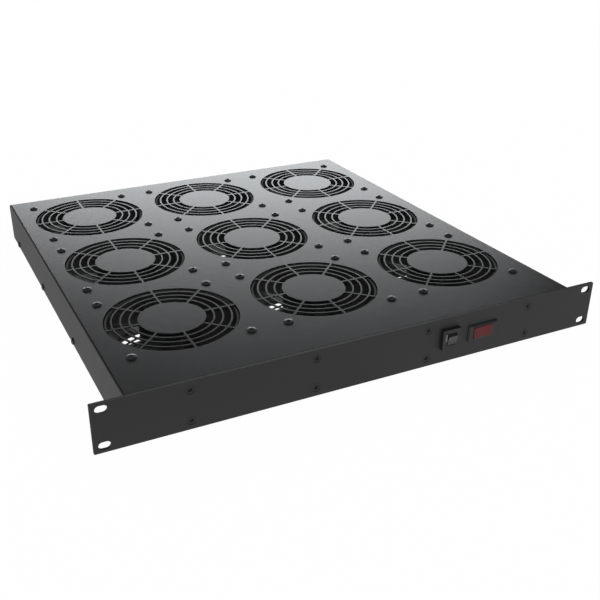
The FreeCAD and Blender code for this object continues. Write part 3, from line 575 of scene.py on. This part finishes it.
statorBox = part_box(fanNames[0] + "_stator")
windingHeight = 3.5 * mm
statorSkin = makeStator("laminated stator", statorBox[0][2] + windingHeight,
                        statorBox[1][2] - windingHeight)
for fan in fanNames:
    wear(castFrame, fan + "_frame")
    wear(statorSkin, fan + "_stator")
    wear(rotorPlastic, fan + "_impeller")
    wear(groundSteel, fan + "_shaft")
print("materials made:", len(bpy.data.materials))

for node, look in screws.items():
    makeScrews(node, look)
print("screws made")


# the half-round rib moulded on the switch's bezel, beside the rocker; its mid-grey colour is a
# painted highlight on its rounded face

switchRib = {
    "fromSide": 1.95,       # from the bezel's left edge
    "fromTop": 2.1,
    "width": 2.3,
    "length": 9.5,
    "seat": 0.2,            # how far its foot goes into the bezel
    "arcs": 12,
    "endArcs": 6,
    "endTilt": 0.12,        # radians; the first ring of a rounded end
}


def makeSwitchRib():
    # a half round along z whose two ends round off into the bezel
    low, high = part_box("switch_housing")
    radius = switchRib["width"] / 2 * mm
    half = switchRib["length"] / 2 * mm
    centre = np.array([low[0] + switchRib["fromSide"] * mm + radius, low[1],
                       high[2] - switchRib["fromTop"] * mm - half])
    across = np.linspace(0, np.pi, switchRib["arcs"] + 1)
    lower = np.linspace(switchRib["endTilt"], np.pi / 2, switchRib["endArcs"])
    upper = np.linspace(np.pi / 2, switchRib["endTilt"], switchRib["endArcs"])
    along = [(sign * (half - radius) - sign * radius * np.cos(bend), np.sin(bend))
             for sign, bends in ((-1, lower), (1, upper)) for bend in bends]
    points = []
    for rise, share in along:
        for turn in across:
            points.append(centre + (-radius * share * np.cos(turn),
                                    -radius * share * np.sin(turn), rise))
        for side in (1, -1):
            points.append(centre + (side * radius * share, switchRib["seat"] * mm, rise))
    row = len(across) + 2
    faces = [[ring * row + k, ring * row + (k + 1) % row,
              (ring + 1) * row + (k + 1) % row, (ring + 1) * row + k]
             for ring in range(len(along) - 1) for k in range(row)]
    faces += [list(range(row)), list(range((len(along) - 1) * row, len(along) * row))]
    piece = makeMesh("switchRib", points, faces, ribHighlightPlastic, "tray")
    shape = bmesh.new()
    shape.from_mesh(piece.data)
    bmesh.ops.recalc_face_normals(shape, faces=shape.faces)
    shape.to_mesh(piece.data)
    shape.free()


makeSwitchRib()


# fan frames: each node's own solid, with the rim round its bore set free by a gutter

# millimetres; radii from the fan's axis, and depths from each face of the frame
fanRim = {
    "bore": 56.6,
    "outside": 58.2,
    "lip": 0.4,             # the bore's edge break
    "seat": 4.0,            # the rim's height, from the face into the barrel
    "gutterOutside": 59.9,
    "gutterDepth": 2.4,
    "turns": 96,
    "weld": 0.0001,         # how close two corners of the node's triangles are one
}


def revolve(profile, centre):
    # a closed loop of (radius, height) turned about z at the centre, faces outwards
    turns = fanRim["turns"]
    angle = np.linspace(0, 2 * np.pi, turns, endpoint=False)
    points = [(centre[0] + radius * np.cos(a), centre[1] + radius * np.sin(a), height)
              for radius, height in profile for a in angle]
    count = len(profile)
    faces = [(ring * turns + turn, ring * turns + (turn + 1) % turns,
              (ring + 1) % count * turns + (turn + 1) % turns, (ring + 1) % count * turns + turn)
             for ring in range(count) for turn in range(turns)]
    shape = bmesh.new()
    corners = [shape.verts.new(point) for point in points]
    for face in faces:
        shape.faces.new([corners[k] for k in face])
    bmesh.ops.recalc_face_normals(shape, faces=shape.faces)
    return shape


def ringMeshes(low, high):
    # the gutters to cut and the rims to add, at both faces of a frame
    centre = ((low[0] + high[0]) / 2, (low[1] + high[1]) / 2)
    look = {key: size * mm for key, size in fanRim.items()}
    gutters = bpy.data.meshes.new("gutters")
    rims = bpy.data.meshes.new("rims")
    cut = bmesh.new()
    rim = bmesh.new()
    for face, inward in ((high[2], -1), (low[2], 1)):
        floor = face + inward * look["gutterDepth"]
        seat = face + inward * look["seat"]
        past = face - inward * mm
        loops = ((cut, gutters, [(look["outside"], floor), (look["gutterOutside"], floor),
                                 (look["gutterOutside"], past), (look["outside"], past)]),
                 (rim, rims, [(look["bore"] + look["lip"], face), (look["outside"], face),
                              (look["outside"], seat), (look["bore"], seat),
                              (look["bore"], face + inward * look["lip"])]))
        for gathered, mesh, loop in loops:
            shape = revolve(loop, centre)
            shape.to_mesh(mesh)
            shape.free()
            gathered.from_mesh(mesh)
    for gathered, mesh in ((cut, gutters), (rim, rims)):
        gathered.to_mesh(mesh)
        gathered.free()
    return gutters, rims


def makeFanFrame(node):
    # weld the node's loose triangles, cut the gutters, then add the rims
    gutters, rims = ringMeshes(*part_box(node))
    whole = bmesh.new()
    whole.from_mesh(nodes[node].data)
    bmesh.ops.remove_doubles(whole, verts=whole.verts, dist=fanRim["weld"] * mm)
    mesh = bpy.data.meshes.new(node + "Whole")
    whole.to_mesh(mesh)
    whole.free()
    blank = addObject(node + "Whole", mesh)
    cutter = addObject(node + "Gutters", gutters)
    cut = blank.modifiers.new("gutters", "BOOLEAN")
    cut.operation = "DIFFERENCE"
    cut.solver = "EXACT"
    cut.object = cutter
    carved = bpy.data.meshes.new_from_object(
        blank.evaluated_get(bpy.context.evaluated_depsgraph_get()))
    bpy.data.objects.remove(cutter)
    bpy.data.objects.remove(blank)
    joined = bmesh.new()
    joined.from_mesh(carved)
    joined.from_mesh(rims)
    final = bpy.data.meshes.new(node + "Detailed")
    joined.to_mesh(final)
    joined.free()
    piece = addObject(node + "Detailed", final)
    final.materials.append(castFrame)
    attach(piece, "tray")
    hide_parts(node)


for fan in fanNames:
    makeFanFrame(fan + "_frame")
print("fan frames made")


# floor, lights and camera

studio = {
    "floorSize": 12.0,
    "floorGap": 0.1,          # millimetres under the object's lowest point
    "floorColour": "#dcdcdc",
    "floorLift": 0.985,       # how far what sees the floor as background sees pure white
    "roomLevel": 0.75,        # the plain light that falls on everything
    "backdropAngle": 8.0,     # the white backdrop's height above the horizon
    "backdropEdge": 3.0,      # and the width of its soft edge, in degrees too
    "aboveBackdrop": 0.05,    # the dim room over it
    "lights": {
        "rearSoftbox": {"place": (1.143, 2.816, 0.742), "aim": (0.0, 0.25, 0.02),
                        "size": (2.86, 0.66), "power": 19.0, "colour": "#f9fdff"},
        "frontFill": {"place": (0.9, -1.9, 1.3), "aim": (0.25, -0.2, 0.0),
                      "size": (1.0, 0.8), "power": 4.0, "colour": "#ffffff"},
    },
}


def seenAsBackground(tree):
    # camera, glossy and transmission rays
    ray = addNode(tree, "ShaderNodeLightPath")
    either = addNode(tree, "ShaderNodeMath", {"operation": "MAXIMUM"},
                     {0: ray.outputs["Is Camera Ray"], 1: ray.outputs["Is Transmission Ray"]})
    return addNode(tree, "ShaderNodeMath", {"operation": "MAXIMUM"},
                   {0: either.outputs[0], 1: ray.outputs["Is Glossy Ray"]})


def makeFloor():
    # a pale sheet under the object, lifted towards white where it is seen as background
    half = studio["floorSize"] / 2
    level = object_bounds()[0][2] - studio["floorGap"] * mm
    corners = [(-half, -half, level), (half, -half, level), (half, half, level),
               (-half, half, level)]
    mesh = bpy.data.meshes.new("floor")
    mesh.from_pydata(corners, [], [(0, 1, 2, 3)])
    floor = addObject("floor", mesh)
    material, tree = newMaterial("pale floor")
    lift = addNode(tree, "ShaderNodeMath", {"operation": "MULTIPLY", 1: studio["floorLift"]},
                   {0: seenAsBackground(tree).outputs[0]})
    matt = addNode(tree, "ShaderNodeBsdfDiffuse", {"Color": linearColour(studio["floorColour"])})
    glow = addNode(tree, "ShaderNodeEmission", {"Strength": 1.0})
    mix = addNode(tree, "ShaderNodeMixShader", {},
                  {0: lift.outputs[0], 1: matt.outputs[0], 2: glow.outputs[0]})
    finishMaterial(tree, mix)
    mesh.materials.append(material)


def makeWorld():
    # a low white backdrop with a dim room over it where it is seen, directly or mirrored,
    # and plain light on everything else
    world = bpy.data.worlds.new("studio")
    world.use_nodes = True
    tree = world.node_tree
    tree.nodes.clear()
    place = addNode(tree, "ShaderNodeTexCoord")
    split = addNode(tree, "ShaderNodeSeparateXYZ", {}, {"Vector": place.outputs["Generated"]})
    top = studio["backdropAngle"]
    backdrop = addNode(tree, "ShaderNodeMapRange",
                       {"From Min": math.sin(math.radians(top - studio["backdropEdge"])),
                        "From Max": math.sin(math.radians(top)),
                        "To Min": 1.0, "To Max": studio["aboveBackdrop"]},
                       {"Value": split.outputs["Z"]})
    plain = addNode(tree, "ShaderNodeBackground",
                    {"Color": (1, 1, 1, 1), "Strength": studio["roomLevel"]})
    white = addNode(tree, "ShaderNodeBackground", {"Color": (1, 1, 1, 1)},
                    {"Strength": backdrop.outputs[0]})
    seen = addNode(tree, "ShaderNodeMixShader", {},
                   {0: seenAsBackground(tree).outputs[0], 1: plain.outputs[0], 2: white.outputs[0]})
    addNode(tree, "ShaderNodeOutputWorld", {}, {"Surface": seen.outputs[0]})
    bpy.context.scene.world = world


def makeLight(name, look):
    data = bpy.data.lights.new(name, "AREA")
    data.shape = "ELLIPSE"
    data.size, data.size_y = look["size"]
    data.energy = look["power"]
    data.color = linearColour(look["colour"])[:3]
    lamp = addObject(name, data)
    lamp.location = look["place"]
    aim = Vector(look["aim"]) - Vector(look["place"])
    lamp.rotation_euler = aim.to_track_quat("-Z", "Y").to_euler()


# fitted to the photograph; the lens and the sensor are in millimetres
camera = {
    "place": (-0.3403, -0.5170, 0.3546),
    "look": (0.3915, 0.8043, -0.4470),
    "lens": 50.36,
    "sensor": 36,
    "shift": (0.0348, 0.0128),
}


def makeCamera():
    data = bpy.data.cameras.new("camera")
    data.lens = camera["lens"]
    data.sensor_width = camera["sensor"]
    data.shift_x, data.shift_y = camera["shift"]
    eye = addObject("camera", data)
    eye.location = camera["place"]
    eye.rotation_euler = Vector(camera["look"]).to_track_quat("-Z", "Y").to_euler()
    bpy.context.scene.camera = eye


makeFloor()
makeWorld()
for name, look in studio["lights"].items():
    makeLight(name, look)
makeCamera()
bpy.context.scene.view_settings.view_transform = "Standard"
print("studio made")
